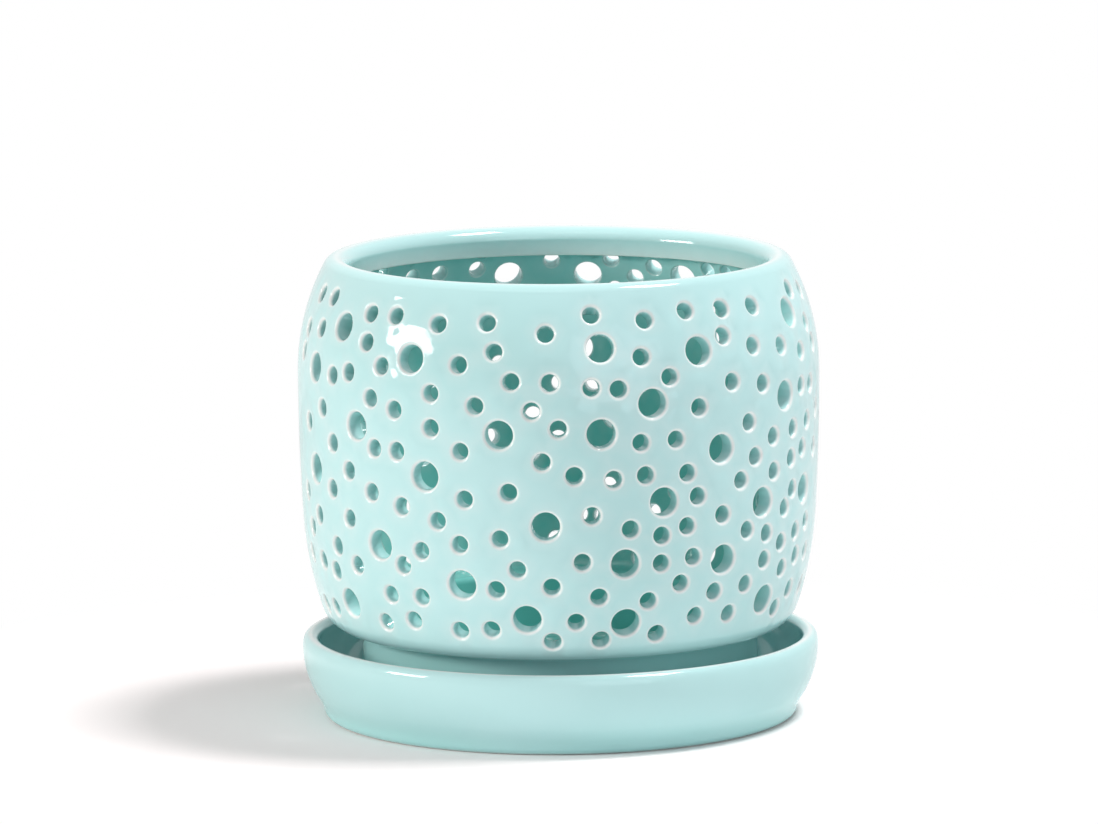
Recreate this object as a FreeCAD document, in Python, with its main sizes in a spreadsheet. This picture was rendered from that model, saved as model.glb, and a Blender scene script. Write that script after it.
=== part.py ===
import FreeCAD, Part
import math
import os
import Sketcher

doc = FreeCAD.newDocument("orchid_pot")

# Driving dimensions in millimetres, one spreadsheet row each
SIZES = {
    # pot wall, from the widest ring up over the shoulder to the lip
    "pot_radius": 70.0,
    "widest_height": 88.3,
    "shoulder_bow": 61.6,
    "shoulder_top": 117.46,
    "lip_bead": 3.6,
    "lip_drop": 4.3,
    "lip_flare": 1.6,
    # pot wall, from the widest ring down over the flank, belly and turn
    "flank_bow": 685.0,
    "hip_height": 50.8,
    "belly_bow": 99.6,
    "haunch_height": 24.5,
    "turn_bow": 7.6,
    "pot_wall": 5.0,
    # pot foot, floor and drain
    "foot_radius": 53.2,
    "foot_wall": 5.0,
    "foot_recess": 1.5,
    "foot_edge": 1.0,
    "pot_floor": 5.0,
    "inner_cove": 3.0,
    "drain_radius": 7.0,
    # round holes through the pot wall
    "small_hole": 2.2,
    "large_hole": 3.7,
    "hole_round": 0.7,
    "hole_overrun": 1.0,
    "pattern_drop": 9.5,
    "pattern_margin": 2.46,
    "hole_land": 0.3,
    # saucer
    "saucer_radius": 69.5,
    "saucer_widest": 19.2,
    "saucer_bow": 25.8,
    "saucer_wall": 4.4,
    "saucer_floor": 4.7,
    "saucer_cove": 4.0,
    "rim_bow": 4.8,
    "rim_turn": 20.54,
    "rim_bead": 2.2,
    "step_height": 4.4,
    "band_radius": 63.9,
    "band_height": 3.2,
    "band_corner": 2.2,
    "ring_width": 4.6,
    "saucer_recess": 1.2,
    "recess_slope": 1.0,
    # the pot stands loose on the saucer's floor
    "seat_gap": 0.3,
}

sheet = doc.addObject("Spreadsheet::Sheet", "sizes")
for row, (alias, value) in enumerate(SIZES.items(), start=1):
    sheet.set("A%d" % row, alias)
    sheet.set("B%d" % row, "%r" % value)
    sheet.setAlias("B%d" % row, alias)
doc.recompute()


def size(alias):
    """A driving dimension, read back from the spreadsheet."""
    return float(sheet.get(alias))


# Holes of the front half as (angle, height share): the angle in degrees from the front,
# positive to the right, and the height as a share of the pierced band
LARGE_FRONT_SHARES = [
    (-57.5, 0.904), (-34.5, 0.846), (9.2, 0.887), (32.5, 0.865), (66.3, 0.921), (-68.5, 0.780),
    (20.6, 0.736), (59.4, 0.710), (-50.2, 0.651), (-13.2, 0.658), (9.1, 0.662), (37.8, 0.598),
    (-69.0, 0.507), (-30.6, 0.539), (23.3, 0.471), (51.1, 0.437), (70.5, 0.441), (-3.1, 0.417),
    (-43.8, 0.340), (14.5, 0.314), (39.1, 0.301), (-22.5, 0.255), (-58.0, 0.160), (-7.7, 0.164),
    (15.2, 0.150), (55.1, 0.167),
]
SMALL_FRONT_SHARES = [
    (-74.5, 0.968), (-66.0, 0.970), (-48.5, 0.950), (-40.5, 0.952), (-28.5, 0.940), (-16.5, 0.950),
    (-3.0, 0.925), (7.5, 0.970), (20.0, 0.952), (30.7, 0.968), (41.0, 0.963), (51.3, 0.960),
    (71.5, 0.976), (80.5, 0.960),
    (-77.5, 0.874), (-68.0, 0.886), (-48.0, 0.875), (-14.5, 0.875), (18.4, 0.860), (39.7, 0.896),
    (48.5, 0.860), (59.0, 0.845), (76.2, 0.879),
    (-78.5, 0.810), (-53.2, 0.791), (-59.5, 0.772), (-42.5, 0.820), (-22.5, 0.840), (-10.5, 0.800),
    (-2.0, 0.798), (7.0, 0.782), (13.0, 0.778), (24.8, 0.803), (41.0, 0.773), (50.7, 0.756),
    (68.6, 0.815), (79.0, 0.820),
    (-45.5, 0.730), (-38.5, 0.708), (-29.0, 0.760), (-18.5, 0.732), (-6.0, 0.723), (31.9, 0.716),
    (67.6, 0.724), (74.1, 0.717),
    (-72.8, 0.628), (-64.3, 0.678), (-29.0, 0.668), (-0.2, 0.675), (17.9, 0.633), (26.1, 0.636),
    (46.0, 0.658), (54.6, 0.610), (63.2, 0.616), (71.6, 0.624), (80.0, 0.640),
    (-59.6, 0.591), (-44.5, 0.600), (-38.0, 0.598), (-22.0, 0.612), (-3.8, 0.590), (3.2, 0.552),
    (11.8, 0.539), (19.0, 0.546), (29.0, 0.543), (48.2, 0.563), (68.7, 0.555), (78.0, 0.538),
    (62.6, 0.536),
    (-53.3, 0.527), (-45.7, 0.480), (-60.5, 0.468), (-76.5, 0.435), (-37.0, 0.453), (-21.2, 0.484),
    (-11.2, 0.506), (31.7, 0.479), (43.7, 0.507), (55.1, 0.515), (63.7, 0.452),
    (-68.4, 0.383), (-53.8, 0.397), (-27.8, 0.422), (-22.6, 0.364), (-13.3, 0.383), (7.0, 0.445),
    (15.6, 0.405), (22.9, 0.383), (29.1, 0.402), (38.5, 0.423), (46.1, 0.370), (53.0, 0.351),
    (60.0, 0.407), (73.1, 0.347),
    (-74.0, 0.340), (-59.7, 0.313), (-52.2, 0.275), (-32.2, 0.338), (-37.4, 0.294), (-9.5, 0.301),
    (4.9, 0.320), (22.9, 0.309), (30.8, 0.319), (59.2, 0.317), (66.3, 0.332), (52.8, 0.278),
    (-77.5, 0.265), (-68.7, 0.258), (-62.0, 0.242), (-42.0, 0.208), (-33.2, 0.209), (-14.5, 0.244),
    (-1.9, 0.255), (8.7, 0.224), (28.0, 0.249), (20.3, 0.208), (37.4, 0.216), (46.9, 0.222),
    (61.0, 0.242), (68.0, 0.263), (75.3, 0.262),
    (-67.3, 0.131), (-75.0, 0.125), (-45.4, 0.126), (-36.4, 0.142), (-24.1, 0.125), (-16.3, 0.132),
    (3.6, 0.156), (-1.9, 0.102), (9.5, 0.104), (23.1, 0.115), (32.8, 0.155), (42.8, 0.148),
    (61.8, 0.130), (67.7, 0.175), (78.0, 0.165),
]
# Holes of the middle of the back, the angle now counted from the back
LARGE_BACK_SHARES = [
    (12.5, 0.920), (-7.7, 0.920), (-33.5, 0.920), (22.5, 0.785), (-13.8, 0.795), (-38.5, 0.830),
    (-5.2, 0.698), (-26.0, 0.705), (19.0, 0.598), (-14.3, 0.509), (7.4, 0.417), (-26.0, 0.382),
    (35.8, 0.426), (38.0, 0.273), (17.2, 0.230), (-17.6, 0.264), (-41.0, 0.140), (41.5, 0.150),
]
SMALL_BACK_SHARES = [
    (40.0, 0.937), (31.5, 0.937), (21.0, 0.942), (1.5, 0.964), (-14.0, 0.969), (-20.0, 0.915),
    (-25.5, 0.948), (-42.0, 0.953),
    (36.0, 0.855), (27.0, 0.860), (17.5, 0.840), (6.0, 0.855), (-2.0, 0.840), (-14.5, 0.876),
    (-22.0, 0.835), (-29.0, 0.850),
    (32.0, 0.805), (9.5, 0.780), (3.0, 0.795), (-3.0, 0.775), (-26.5, 0.786), (-33.0, 0.765),
    (-41.0, 0.745), (39.0, 0.800), (33.0, 0.740), (22.5, 0.704), (10.0, 0.715), (3.5, 0.665),
    (-14.5, 0.720), (-40.0, 0.675), (41.5, 0.700),
    (32.5, 0.625), (14.5, 0.656), (-0.3, 0.600), (-8.4, 0.600), (-14.0, 0.640), (-20.3, 0.600),
    (-32.5, 0.625), (-39.5, 0.600), (39.0, 0.615),
    (37.5, 0.530), (25.3, 0.560), (12.5, 0.535), (6.2, 0.510), (-2.0, 0.535), (-28.5, 0.560),
    (-28.5, 0.498), (-34.2, 0.462), (-40.5, 0.515),
    (24.8, 0.485), (16.8, 0.452), (0.1, 0.443), (-4.5, 0.393), (-14.3, 0.386), (28.2, 0.429),
    (-35.6, 0.395), (17.5, 0.365), (11.2, 0.343), (26.8, 0.332), (3.8, 0.295), (-1.5, 0.272),
    (-12.4, 0.312), (-30.3, 0.304), (-38.5, 0.330), (41.0, 0.365),
    (-5.2, 0.226), (-10.9, 0.226), (-24.3, 0.240), (-37.0, 0.240), (10.0, 0.220), (26.2, 0.216),
    (35.6, 0.200),
    (-11.5, 0.158), (-21.4, 0.173), (-30.2, 0.148), (0.8, 0.158), (9.3, 0.152), (20.0, 0.158),
    (31.0, 0.170),
    (-21.7, 0.112), (-11.2, 0.098), (-1.6, 0.103), (4.9, 0.112), (21.0, 0.096), (30.0, 0.108),
    (15.2, 0.104),
]
# Past this angle from the back, the sides repeat the front's own holes turned half round
BACK_MIDDLE = 44.0
# Holes within this share of the pot's radius of the middle plane, front and back, are cut with the
# pot turned by this angle, as the solid kernel passes over some of them when it stands square
MIDDLE_SHARE = 0.16
SPARE_TURN = 37.0
# Two places nearer than this are the same place
TINY = 1e-6


def check(shape, name):
    """Stops the build where a shape is missing or broken."""
    if shape.isNull() or not shape.isValid():
        raise RuntimeError("%s has no valid shape" % name)


def on_circle(centre, radius, angle):
    """A point of a circle, as a (radius, height) pair of the section."""
    return (centre[0] + radius * math.cos(angle), centre[1] + radius * math.sin(angle))


def bow(centre, radius, start, end):
    """An arc of an outline with its two ends in order: (curve, first point, last point)."""
    middle = FreeCAD.Vector(centre[0], centre[1], 0)
    circle = Part.Circle(middle, FreeCAD.Vector(0, 0, 1), radius)
    curve = Part.ArcOfCircle(circle, min(start, end), max(start, end))
    return curve, on_circle(centre, radius, start), on_circle(centre, radius, end)


def line(start, end):
    """A straight stretch of an outline with its two ends: (curve, first point, last point)."""
    first = FreeCAD.Vector(start[0], start[1], 0)
    last = FreeCAD.Vector(end[0], end[1], 0)
    return Part.LineSegment(first, last), start, end


def draw(body, name, stretches, bindings):
    """Puts a closed outline into a sketch of the body's own upright plane.

    stretches is a list of (label, stretch); bindings is a list of (label, kind, expression).
    The kind is radius, height or reach (of the stretch's first point), end_height or end_reach
    (of its last), smooth (it runs on from the stretch before without a corner), or level (its
    first point lies on the ground line) or axis (its first point lies on the upright axis).
    """
    plane = next(f for f in body.Origin.OriginFeatures if f.Role == "XZ_Plane")
    sketch = body.newObject("Sketcher::SketchObject", name)
    sketch.AttachmentSupport = [(plane, "")]
    sketch.MapMode = "FlatFace"
    index = {}
    first, last = [], []
    for number, (label, (curve, start, end)) in enumerate(stretches):
        sketch.addGeometry(curve, False)
        index[label] = number
        forward = math.dist(start, (curve.StartPoint.x, curve.StartPoint.y)) < TINY
        first.append(1 if forward else 2)
        last.append(2 if forward else 1)
    smooth = [index[label] for label, kind, expression in bindings if kind == "smooth"]
    for number, (label, (curve, start, end)) in enumerate(stretches):
        before = number - 1 if number else len(stretches) - 1
        word = "Tangent" if number in smooth else "Coincident"
        sketch.addConstraint(
            Sketcher.Constraint(word, before, last[before], number, first[number])
        )
        if curve.TypeId == "Part::GeomLineSegment" and abs(end[1] - start[1]) < TINY:
            sketch.addConstraint(Sketcher.Constraint("Horizontal", number))
        if curve.TypeId == "Part::GeomLineSegment" and abs(end[0] - start[0]) < TINY:
            sketch.addConstraint(Sketcher.Constraint("Vertical", number))
    for label, kind, expression in bindings:
        number = index[label]
        curve, start, end = stretches[number][1]
        if kind == "smooth":
            continue
        if kind in ("level", "axis"):
            line_number = -1 if kind == "level" else -2
            sketch.addConstraint(
                Sketcher.Constraint("PointOnObject", number, first[number], line_number)
            )
            continue
        if kind == "radius":
            rule = Sketcher.Constraint("Radius", number, curve.Radius)
        else:
            at_end = kind.startswith("end_")
            point = end if at_end else start
            corner = last[number] if at_end else first[number]
            if kind.endswith("reach"):
                rule = Sketcher.Constraint("DistanceX", -1, 1, number, corner, point[0])
            else:
                rule = Sketcher.Constraint("DistanceY", -1, 1, number, corner, point[1])
        sketch.addConstraint(rule)
        sketch.setExpression("Constraints[%d]" % (sketch.ConstraintCount - 1), expression)
    return sketch


def turned(label, stretches, bindings):
    """A body made by turning an outline once round the upright axis."""
    body = doc.addObject("PartDesign::Body", label)
    body.Label = label
    sketch = draw(body, label + "_outline", stretches, bindings)
    revolution = body.newObject("PartDesign::Revolution", label + "_turned")
    revolution.Profile = sketch
    revolution.ReferenceAxis = (sketch, ["V_Axis"])
    revolution.Angle = 360.0
    sketch.Visibility = False
    doc.recompute()
    check(body.Shape, label)
    return body


QUARTER = 0.5 * math.pi
pot_radius = size("pot_radius")
pot_wall = size("pot_wall")
widest = size("widest_height")
foot_radius = size("foot_radius")

# The pot's wall is a chain of tangent bows; each is (centre radius, centre height, bow radius,
# lower angle, upper angle), the angles measured up from level
shoulder_rise = math.asin((size("shoulder_top") - widest) / size("shoulder_bow"))
SHOULDER = (pot_radius - size("shoulder_bow"), widest, size("shoulder_bow"), 0.0, shoulder_rise)
hip_dip = math.asin((size("hip_height") - widest) / size("flank_bow"))
FLANK = (pot_radius - size("flank_bow"), widest, size("flank_bow"), hip_dip, 0.0)
belly_centre = on_circle(FLANK[:2], size("flank_bow") - size("belly_bow"), hip_dip)
haunch_dip = math.asin((size("haunch_height") - belly_centre[1]) / size("belly_bow"))
BELLY = (belly_centre[0], belly_centre[1], size("belly_bow"), haunch_dip, hip_dip)
turn_centre = on_circle(BELLY[:2], size("belly_bow") - size("turn_bow"), haunch_dip)
TURN = (turn_centre[0], turn_centre[1], size("turn_bow"), -QUARTER, haunch_dip)
UNDERSIDE = turn_centre[1] - size("turn_bow")


def rising(part):
    """The outer face of a wall part, from its lower to its upper end."""
    return bow(part[:2], part[2], part[3], part[4])


def falling(part, inset):
    """The inner face of a wall part, from its upper to its lower end."""
    return bow(part[:2], part[2] - inset, part[4], part[3])


def pot_stretches():
    """The pot's section, from the foot up its outside, over the lip and down its inside."""
    bead = size("lip_bead")
    rim_start = on_circle(SHOULDER[:2], SHOULDER[2], shoulder_rise)
    bead_centre = on_circle(rim_start, -bead, shoulder_rise)
    lip_foot = bead_centre[1] - size("lip_drop")
    lip_edge = (bead_centre[0] - bead + size("lip_flare"), lip_foot)
    inner_bow = SHOULDER[2] - pot_wall
    inner_top = math.asin((lip_foot - widest) / inner_bow)
    inner_foot = foot_radius - size("foot_wall")
    floor_top = size("foot_recess") + size("pot_floor")
    cove = size("inner_cove")
    edge = size("foot_edge")
    drain = size("drain_radius")
    recess = size("foot_recess")
    corner = bow((foot_radius - edge, edge), edge, -QUARTER, 0.0)
    return [
        ("foot_corner", corner),
        ("foot_side", line((foot_radius, edge), (foot_radius, UNDERSIDE))),
        ("underside", line((foot_radius, UNDERSIDE), (TURN[0], UNDERSIDE))),
        ("turn", rising(TURN)),
        ("belly", rising(BELLY)),
        ("flank", rising(FLANK)),
        ("shoulder", rising(SHOULDER)),
        ("lip", bow(bead_centre, bead, shoulder_rise, math.pi)),
        ("lip_face", line((bead_centre[0] - bead, bead_centre[1]), lip_edge)),
        ("lip_ledge", line(lip_edge, on_circle(SHOULDER[:2], inner_bow, inner_top))),
        ("inner_shoulder", bow(SHOULDER[:2], inner_bow, inner_top, 0.0)),
        ("inner_flank", falling(FLANK, pot_wall)),
        ("inner_belly", falling(BELLY, pot_wall)),
        ("inner_turn", falling(TURN, pot_wall)),
        ("shelf", line((TURN[0], UNDERSIDE + pot_wall), (inner_foot, UNDERSIDE + pot_wall))),
        ("inner_foot", line((inner_foot, UNDERSIDE + pot_wall), (inner_foot, floor_top + cove))),
        ("cove", bow((inner_foot - cove, floor_top + cove), cove, 0.0, -QUARTER)),
        ("floor", line((inner_foot - cove, floor_top), (drain, floor_top))),
        ("drain", line((drain, floor_top), (drain, recess))),
        ("recess", line((drain, recess), (inner_foot, recess))),
        ("ring_side", line((inner_foot, recess), (inner_foot, 0.0))),
        ("ring", line((inner_foot, 0.0), (foot_radius - edge, 0.0))),
    ]


POT_BINDINGS = [
    ("foot_corner", "radius", "sizes.foot_edge"),
    ("turn", "radius", "sizes.turn_bow"),
    ("belly", "radius", "sizes.belly_bow"),
    ("flank", "radius", "sizes.flank_bow"),
    ("shoulder", "radius", "sizes.shoulder_bow"),
    ("lip", "radius", "sizes.lip_bead"),
    ("inner_shoulder", "radius", "sizes.shoulder_bow - sizes.pot_wall"),
    ("inner_flank", "radius", "sizes.flank_bow - sizes.pot_wall"),
    ("inner_belly", "radius", "sizes.belly_bow - sizes.pot_wall"),
    ("inner_turn", "radius", "sizes.turn_bow - sizes.pot_wall"),
    ("cove", "radius", "sizes.inner_cove"),
    ("foot_side", "reach", "sizes.foot_radius"),
    ("flank", "end_reach", "sizes.pot_radius"),
    ("inner_shoulder", "end_reach", "sizes.pot_radius - sizes.pot_wall"),
    ("inner_foot", "reach", "sizes.foot_radius - sizes.foot_wall"),
    ("drain", "reach", "sizes.drain_radius"),
    ("ring_side", "reach", "sizes.foot_radius - sizes.foot_wall"),
    ("turn", "end_height", "sizes.haunch_height"),
    ("belly", "end_height", "sizes.hip_height"),
    ("flank", "end_height", "sizes.widest_height"),
    ("shoulder", "end_height", "sizes.shoulder_top"),
    ("floor", "height", "sizes.foot_recess + sizes.pot_floor"),
    ("recess", "height", "sizes.foot_recess"),
    ("ring", "level", ""),
    ("belly", "smooth", ""),
    ("flank", "smooth", ""),
    ("shoulder", "smooth", ""),
    ("lip", "smooth", ""),
]


def saucer_stretches():
    """The saucer's section, from its foot band up its outside, over the rim and down inside."""
    radius = size("saucer_radius")
    level = size("saucer_widest")
    wall_bow = size("saucer_bow")
    centre = (radius - wall_bow, level)
    dip = math.asin((size("step_height") - level) / wall_bow)
    rim_bow = size("rim_bow")
    rim_centre = (radius - rim_bow, level)
    rim_rise = math.asin((size("rim_turn") - level) / rim_bow)
    bead = size("rim_bead")
    bead_centre = on_circle(rim_centre, rim_bow - bead, rim_rise)
    inner_bow = wall_bow - size("saucer_wall")
    floor = size("saucer_floor")
    cove = size("saucer_cove")
    cove_dip = math.asin((floor + cove - level) / (inner_bow - cove))
    cove_centre = (centre[0] + (inner_bow - cove) * math.cos(cove_dip), floor + cove)
    corner = size("band_corner")
    band = size("band_radius")
    ring_inner = band - corner - size("ring_width")
    recess = size("saucer_recess")
    recess_edge = ring_inner - size("recess_slope")
    wall_start = (centre[0] + wall_bow * math.cos(dip), size("step_height"))
    inner_start = (centre[0] + inner_bow, level)
    return [
        ("corner", bow((band - corner, corner), corner, -QUARTER, 0.0)),
        ("band", line((band, corner), (band, size("band_height")))),
        ("step", line((band, size("band_height")), wall_start)),
        ("wall", bow(centre, wall_bow, dip, 0.0)),
        ("rim_side", bow(rim_centre, rim_bow, 0.0, rim_rise)),
        ("rim", bow(bead_centre, bead, rim_rise, math.pi)),
        ("rim_inside", line((bead_centre[0] - bead, bead_centre[1]), inner_start)),
        ("inner_wall", bow(centre, inner_bow, 0.0, cove_dip)),
        ("cove", bow(cove_centre, cove, cove_dip, -QUARTER)),
        ("floor", line((cove_centre[0], floor), (0.0, floor))),
        ("middle", line((0.0, floor), (0.0, recess))),
        ("recess", line((0.0, recess), (recess_edge, recess))),
        ("ring_side", line((recess_edge, recess), (ring_inner, 0.0))),
        ("ring", line((ring_inner, 0.0), (band - corner, 0.0))),
    ]


SAUCER_BINDINGS = [
    ("corner", "radius", "sizes.band_corner"),
    ("wall", "radius", "sizes.saucer_bow"),
    ("rim_side", "radius", "sizes.rim_bow"),
    ("rim", "radius", "sizes.rim_bead"),
    ("inner_wall", "radius", "sizes.saucer_bow - sizes.saucer_wall"),
    ("cove", "radius", "sizes.saucer_cove"),
    ("band", "reach", "sizes.band_radius"),
    ("wall", "end_reach", "sizes.saucer_radius"),
    ("step", "height", "sizes.band_height"),
    ("wall", "height", "sizes.step_height"),
    ("wall", "end_height", "sizes.saucer_widest"),
    ("rim_side", "end_height", "sizes.rim_turn"),
    ("floor", "height", "sizes.saucer_floor"),
    ("recess", "height", "sizes.saucer_recess"),
    ("middle", "axis", ""),
    ("ring", "level", ""),
    ("rim_side", "smooth", ""),
    ("rim", "smooth", ""),
]


def wall_at(height):
    """Radius of the pot's outside at a height, and the angle at which it faces up."""
    for part in (TURN, BELLY, FLANK, SHOULDER):
        if height <= part[1] + part[2] * math.sin(part[4]) or part is SHOULDER:
            tilt = math.asin(max(-1.0, min(1.0, (height - part[1]) / part[2])))
            return part[0] + part[2] * math.cos(tilt), tilt


def hole_cutter(radius):
    """A plug for one round hole: its mouth lies at the origin, rounded, and it runs down -Z."""
    rounding = size("hole_round")
    over = size("hole_overrun")
    wide = radius + rounding
    foot = -pot_wall - over
    stretches = [
        line((0.0, foot), (radius, foot)),
        line((radius, foot), (radius, -rounding)),
        bow((wide, -rounding), rounding, 2.0 * QUARTER, QUARTER),
        line((wide, 0.0), (wide, over)),
        line((wide, over), (0.0, over)),
        line((0.0, over), (0.0, foot)),
    ]
    wire = Part.Wire([curve.toShape() for curve, start, end in stretches])
    face = Part.Face(wire)
    face.rotate(FreeCAD.Vector(0, 0, 0), FreeCAD.Vector(1, 0, 0), 90.0)
    return face.revolve(FreeCAD.Vector(0, 0, 0), FreeCAD.Vector(0, 0, 1), 360.0)


def hole_places():
    """Every hole as (turn in degrees from the front, height share, radius)."""
    small, large = size("small_hole"), size("large_hole")
    places = [(angle, share, large) for angle, share in LARGE_FRONT_SHARES]
    places += [(angle, share, small) for angle, share in SMALL_FRONT_SHARES]
    places += [(angle + 180.0, share, large) for angle, share in LARGE_BACK_SHARES]
    places += [(angle + 180.0, share, small) for angle, share in SMALL_BACK_SHARES]
    sides = [(angle, share, large) for angle, share in LARGE_FRONT_SHARES]
    sides += [(angle, share, small) for angle, share in SMALL_FRONT_SHARES]
    places += [(a + 180.0, share, radius) for a, share, radius in sides if abs(a) > BACK_MIDDLE]
    return places


def wall_holes():
    """The plugs of the holes at the sides and of those in the middle, each square to the wall.

    Places where two holes would meet are left out.
    """
    low = size("haunch_height") - size("pattern_drop")
    high = size("shoulder_top") - size("pattern_margin")
    cutters = {radius: hole_cutter(radius) for radius in (size("small_hole"), size("large_hole"))}
    land = 2.0 * size("hole_round") + size("hole_land")
    near = MIDDLE_SHARE * pot_radius
    placed = []
    sides = []
    middles = []
    for angle, share, radius in hole_places():
        height = low + share * (high - low)
        reach, tilt = wall_at(height)
        turn = math.radians(angle) - QUARTER
        mouth = FreeCAD.Vector(reach * math.cos(turn), reach * math.sin(turn), height)
        crowded = [
            other for other, width in placed if (mouth - other).Length < radius + width + land
        ]
        if crowded:
            print("left out a hole at %.1f, %.3f" % (angle, share))
            continue
        placed.append((mouth, radius))
        outward = FreeCAD.Vector(
            math.cos(tilt) * math.cos(turn), math.cos(tilt) * math.sin(turn), math.sin(tilt)
        )
        plug = cutters[radius].copy()
        plug.Placement = FreeCAD.Placement(mouth, FreeCAD.Rotation(FreeCAD.Vector(0, 0, 1), outward))
        (middles if abs(mouth.x) < near else sides).append(plug)
    return sides, middles


def bores(shape):
    """Directions of the round holes through the wall, one for each hole."""
    radii = (size("small_hole"), size("large_hole"))
    return {
        tuple(round(part, 5) for part in face.Surface.Axis)
        for face in shape.Faces
        if face.Surface.TypeId == "Part::GeomCylinder"
        and min(abs(face.Surface.Radius - radius) for radius in radii) < TINY
    }


def spun(angle):
    """A turn about the pot's axis."""
    return FreeCAD.Placement(FreeCAD.Vector(0, 0, 0), FreeCAD.Rotation(FreeCAD.Vector(0, 0, 1), angle))


def pierce(name, base, tools, before, after):
    """Cuts the tools out of the base, both turned by one angle, and turns the rest by another."""
    tool = doc.addObject("Part::Feature", name + "_holes")
    tool.Shape = Part.makeCompound(tools)
    tool.Placement = spun(before)
    cut = doc.addObject("Part::Cut", name)
    cut.Base = base
    cut.Tool = tool
    cut.Placement = spun(after)
    return cut


saucer = turned("saucer", saucer_stretches(), SAUCER_BINDINGS)

pot_blank = turned("pot_blank", pot_stretches(), POT_BINDINGS)
side_plugs, middle_plugs = wall_holes()
pierced = pierce("pierced", pot_blank, side_plugs, 0.0, SPARE_TURN)
pot = pierce("pot", pierced, middle_plugs, SPARE_TURN, -SPARE_TURN)
pot.setExpression("Placement.Base.z", "sizes.saucer_floor + sizes.seat_gap")
doc.recompute()

for thing in doc.Objects:
    if "Invalid" in thing.State or "Error" in thing.State:
        raise RuntimeError("%s did not compute" % thing.Name)

wanted = len(side_plugs) + len(middle_plugs)
found = len(bores(pot.Shape))
print("%d holes of %d" % (found, wanted))
if found != wanted:
    raise RuntimeError("the wall has %d holes, not %d" % (found, wanted))

os.makedirs("parts", exist_ok=True)
for piece in (pot, saucer):
    check(piece.Shape, piece.Label)
    if len(piece.Shape.Solids) != 1:
        raise RuntimeError("%s is not one solid" % piece.Label)
    piece.Shape.exportStep("parts/%s.step" % piece.Label)
    box = piece.Shape.optimalBoundingBox()
    print("%s %.1f x %.1f x %.1f mm, %.0f mm3" % (
        piece.Label, box.XLength, box.YLength, box.ZLength, piece.Shape.Volume))
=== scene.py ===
"""A glazed orchid pot, pierced all over with round holes, standing in its saucer on a pale floor."""

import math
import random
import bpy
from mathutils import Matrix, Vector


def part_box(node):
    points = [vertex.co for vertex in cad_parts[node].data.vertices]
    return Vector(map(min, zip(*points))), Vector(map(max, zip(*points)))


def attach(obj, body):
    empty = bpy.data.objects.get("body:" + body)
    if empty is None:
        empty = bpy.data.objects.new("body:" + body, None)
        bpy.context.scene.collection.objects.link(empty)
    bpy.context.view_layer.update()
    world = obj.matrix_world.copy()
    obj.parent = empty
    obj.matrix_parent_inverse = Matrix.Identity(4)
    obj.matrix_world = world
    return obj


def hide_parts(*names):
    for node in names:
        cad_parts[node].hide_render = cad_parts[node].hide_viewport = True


bl_info = {
    "name": "Orchid pot",
    "version": (1, 0, 0),
    "blender": (4, 5, 0),
    "location": "View3D > Sidebar > Orchid pot",
    "description": "Builds a pierced orchid pot and its saucer round their packed model",
    "category": "Add Mesh",
}

import bpy
import numpy as np
from mathutils import Matrix, Vector
from mathutils.geometry import delaunay_2d_cdt

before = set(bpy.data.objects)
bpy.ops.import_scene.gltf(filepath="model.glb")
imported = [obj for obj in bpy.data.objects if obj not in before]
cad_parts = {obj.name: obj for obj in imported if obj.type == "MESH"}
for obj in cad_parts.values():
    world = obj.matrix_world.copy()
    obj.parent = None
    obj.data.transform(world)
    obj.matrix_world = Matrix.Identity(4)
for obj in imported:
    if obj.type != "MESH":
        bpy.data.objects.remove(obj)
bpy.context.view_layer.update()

MM = 0.001
FULL = 2.0 * math.pi
QUARTER = 0.5 * math.pi
WHITE = (1.0, 1.0, 1.0, 1.0)
# Points round a turned piece, and round a small and a large hole
SIDES = 256
SMALL_SIDES, LARGE_SIDES = 20, 28
# Steps along the curves of the sections
FINE_STEP = 0.25 * MM
EDGE_STEP = 0.3 * MM
RIM_STEP = 0.4 * MM
LIP_STEP = 0.6 * MM
COVE_STEP = 0.7 * MM
CURVE_STEP = 0.8 * MM
WALL_STEP = 0.9 * MM
# Points along the flat runs: the pot's floor and foot, the saucer's underside and floor
FLOOR_POINTS, SIDE_POINTS = 8, 7
UNDER_POINTS, DISH_POINTS = 6, 14
CREASE_STEPS = 6
# The saucer's middle is closed by a small disc of this radius, and its first ring lies at this share
HUB = 0.02 * MM
HUB_SHARE = 0.2
# Nearer points of an outline are one point, and thinner triangles have no direction
SAME_POINT = 1e-7
LEAST_SIZE = 1e-15
LEAST_TRIANGLE = 1e-12
# How exactly the flat layout of a wall is told apart, in its millimetres
LAYOUT_EXACT = 1e-5
# How far along an outline its direction and its normals are taken
FACING_REACH = 0.6 * MM
NORMAL_STEP = 0.15 * MM
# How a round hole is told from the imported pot's other faces
BORE_LEAN = 0.12
SAME_PLACE = 0.002 * MM
ROUND_WITHIN = 0.4 * MM
LEAST_HOLE = 1.0 * MM
LARGE_HOLE = 3.0 * MM
WIDEST_HOLE = 6.0 * MM
LEAST_COUNT = 100
WALL_OVER = 0.1 * MM
# How the free points of a wall's mesh are spread: row height, distance from edges and unevenness
ROW_SHARE = 0.87
EDGE_SHARE = 0.8
JITTER_SHARE = 0.24
SEAM_SHARE = 10.0
POINT_SEED, SIZE_SEED = 11, 5
# Strip of wall kept beside a hole's rounding where a neighbour stands close
ROUND_GAP = 0.08 * MM
# How many dimples add up where holes stand close, and how many places are worked out at once
DIMPLES_SHARE = 1.6
AT_ONCE = 4000
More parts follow.
